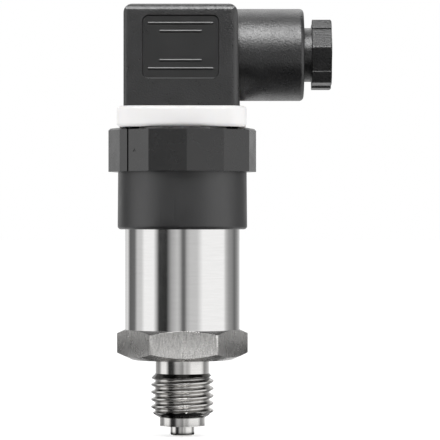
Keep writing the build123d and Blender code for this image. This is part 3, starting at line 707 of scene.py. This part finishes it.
# Levels round the whole turn, from behind at 0, by way of the camera side, at 0.5, and back to 1
BACK_WIDTH = ((0.0, 1.0), (0.07, 1.0), (0.12, 0.0), (0.88, 0.0), (0.93, 1.0), (1.0, 1.0))
TOP_WIDTH = ((0.0, 0.0), (0.40, 0.0), (0.44, 1.0), (0.56, 1.0), (0.60, 0.0), (1.0, 0.0))

# Softbox above the camera, with levels from the horizon, at 0, to straight up, at 1
TOP_RISE = ((0.0, 0.0), (0.36, 0.0), (0.46, 1.0), (0.76, 1.0), (0.84, 0.15), (1.0, 0.1))
TOP_STRENGTH = 8.5

DOME_RADIUS = 1.5
DOME_HEIGHT = 0.04
DOME_TURN = 3.0
DOME_RISES = (-50, -36, -24, -16, -10, -6, -3, 0, 5, 10, 18, 26, 34, 44, 54, 64, 74, 84, 90)
DOME_STEEPEST = 89.5
AZIMUTH_STEP = 6
LAID_HEIGHT = 0.3 * MM
LAID_FROM = 0.5 * MM
KERBS = ((9 * MM, 1.6 * MM), (30 * MM, 18 * MM))
KERB_WIDTH = 0.1 * MM
KERB_FOOT = 0.05 * MM
NEAR_REACH = KERBS[-1][0] + 0.2 * MM

# Light spot and ring on the floor under the thread, by their reach
SPOT_REACH = 3.4 * MM
RING_REACH = (7.2 * MM, 12.5 * MM)
RING_LEVEL = 0.35


def dome_row(rise):
    """Reach and height of the cards at one rise, laid on the floor below the horizon."""
    floor_depth = FLOOR_LEVEL + LAID_HEIGHT - DOME_HEIGHT
    if rise < 0:
        return min(DOME_RADIUS, floor_depth / tan(radians(rise))), floor_depth
    if rise == 0:
        return DOME_RADIUS, 0.0
    return DOME_RADIUS * cos(radians(min(rise, DOME_STEEPEST))), DOME_RADIUS * sin(radians(rise))


def dome_mesh():
    """Cards round the object, with two kerbs of them round its foot."""
    work = bmesh.new()
    floor_depth = dome_row(-90)[1]
    profile = [(LAID_FROM, floor_depth)]
    for reach, rise in KERBS:
        profile += [(reach, floor_depth), (reach, floor_depth + rise), (reach + KERB_WIDTH, floor_depth)]
    rows = []
    for reach, height in profile + [dome_row(rise) for rise in DOME_RISES]:
        row = []
        for azimuth in range(-180, 181, AZIMUTH_STEP):
            side, front = reach * sin(radians(azimuth)), -reach * cos(radians(azimuth))
            row.append(work.verts.new((side, front, height)))
        rows.append(row)
    for lower, upper in zip(rows, rows[1:]):
        for index in range(len(lower) - 1):
            work.faces.new((lower[index], lower[index + 1], upper[index + 1], upper[index]))
    return mesh_of(work, "studio_cards")


def card_ramp(nodes, turn, cards):
    return nodes.ramp(turn, [((degrees + 180) / 360, level / CARD_SCALE) for degrees, level in cards])


def foot_level(nodes, reach, near, high_up):
    """The level at the object's foot: the kerbs in full, and the light ring and spot on the floor."""
    raised = nodes.math("GREATER_THAN", high_up, dome_row(-90)[1] + KERB_FOOT)
    beyond = nodes.math("GREATER_THAN", reach, RING_REACH[0])
    ring = nodes.math("MULTIPLY", beyond, nodes.math("LESS_THAN", reach, RING_REACH[1]))
    ring = nodes.math("MAXIMUM", ring, nodes.math("LESS_THAN", reach, SPOT_REACH))
    kerbs = nodes.math("MULTIPLY", near, raised)
    return nodes.math("MAXIMUM", kerbs, nodes.math("MULTIPLY", ring, RING_LEVEL))


def card_material():
    material, nodes = new_material("studio_cards")
    place = nodes.add("ShaderNodeTexCoord").outputs["Object"]
    parts = nodes.parts(place)
    sine = nodes.parts(nodes.vector("NORMALIZE", place)["Vector"])["Z"]
    azimuth = nodes.math("ARCTAN2", parts["X"], nodes.math("MULTIPLY", parts["Y"], -1.0))
    turn = spread(nodes, azimuth, 0.0, 1.0, (-pi, pi))
    slope = nodes.math("ARCSINE", sine)
    rise = spread(nodes, slope, 0.0, 1.0, (0.0, pi / 2))
    height = spread(nodes, slope, 0.0, 1.0, (-pi / 2, pi / 2))
    reach = reach_from_axis(nodes, place)
    near = nodes.math("LESS_THAN", reach, NEAR_REACH)

    above = spread(nodes, slope, 0.0, 1.0, [radians(degrees) for degrees in UPPER_FROM])
    kerb_top = nodes.math("GREATER_THAN", parts["Z"], KERB_TOP - DOME_HEIGHT)
    kerb = nodes.mix(kerb_top, card_ramp(nodes, turn, KERB_CARDS), card_ramp(nodes, turn, KERB_TOP_CARDS))
    cards = nodes.mix(above, card_ramp(nodes, turn, CARDS), card_ramp(nodes, turn, UPPER_CARDS))
    cards = nodes.mix(near, cards, kerb)
    foot = foot_level(nodes, reach, near, parts["Z"])
    lit = nodes.math("MAXIMUM", nodes.ramp(height, CARD_HEIGHT), foot)
    low = nodes.math("MULTIPLY", lit, CARD_SCALE)

    high = nodes.math("MULTIPLY", nodes.ramp(rise, TOP_RISE), TOP_STRENGTH)
    top = nodes.math("MULTIPLY", nodes.ramp(turn, TOP_WIDTH), high)
    back = nodes.math("MULTIPLY", nodes.ramp(turn, BACK_WIDTH), nodes.ramp(height, BACK_RISE))
    front = nodes.math("ADD", nodes.math("MULTIPLY", cards, low), top)
    below = nodes.math("MULTIPLY", nodes.ramp(height, FLOOR_RISE), CARD_SCALE)
    laid = nodes.math("MULTIPLY", card_ramp(nodes, turn, FLOOR_CARDS), below)
    laid = nodes.math("MULTIPLY", laid, nodes.math("SUBTRACT", 1.0, near))
    strength = nodes.math("ADD", nodes.math("ADD", front, back), laid)
    glow = nodes.add("ShaderNodeEmission", {"Strength": strength}).outputs["Emission"]
    nodes.add("ShaderNodeOutputMaterial", {"Surface": glow})
    return material


def only_in_reflections(thing):
    """Hides a thing from all rays but glossy ones."""
    thing.visible_camera = False
    thing.visible_diffuse = False
    thing.visible_transmission = False
    thing.visible_volume_scatter = False
    thing.visible_shadow = False


dome = stage_object("studio_cards", dome_mesh(), card_material())
dome.location.z = DOME_HEIGHT
dome.rotation_euler.z = radians(DOME_TURN)
only_in_reflections(dome)

# World, white to the eye and in mirrors and glass, and an even pale light on matt surfaces
EVEN_LIGHT = 0.62
world = bpy.data.worlds.new("studio")
scene.world = world
world.use_nodes = True
world.cycles.sampling_method = "NONE"
nodes = Nodes(world.node_tree)
even_back = nodes.add("ShaderNodeBackground", {"Color": (1, 1, 1, 1), "Strength": EVEN_LIGHT})
white_back = nodes.add("ShaderNodeBackground", {"Color": (1, 1, 1, 1), "Strength": 1.0})
shown = {0: shown_to_eye(nodes), 1: even_back.outputs[0], 2: white_back.outputs[0]}
seen = nodes.add("ShaderNodeMixShader", shown)
nodes.add("ShaderNodeOutputWorld", {"Surface": seen.outputs[0]})


def softbox(name, place, target, size, radiance):
    """An area lamp that looks at the target, with its brightness given as seen."""
    lamp = bpy.data.lights.new(name, "AREA")
    lamp.shape = "RECTANGLE"
    lamp.size, lamp.size_y = size
    lamp.energy = radiance * pi * size[0] * size[1]
    piece = bpy.data.objects.new(name, lamp)
    piece.location = place
    piece.rotation_euler = (Vector(target) - Vector(place)).to_track_quat("-Z", "Y").to_euler()
    scene.collection.objects.link(piece)
    piece.visible_camera = False
    return piece


# Lamps by place, size and radiance, all turned to the middle of the object
LAMP_TARGET = (0, 0, 0.05)
LAMPS = {
    "key": ((0.08, -0.36, 0.46), (0.4, 0.4), 1.5),
    "left": ((-0.50, -0.10, 0.14), (0.3, 0.5), 1.9),
    "right": ((0.50, -0.10, 0.14), (0.3, 0.5), 1.9),
}
for name, (place, size, radiance) in LAMPS.items():
    softbox(name, place, LAMP_TARGET, size, radiance).visible_glossy = False
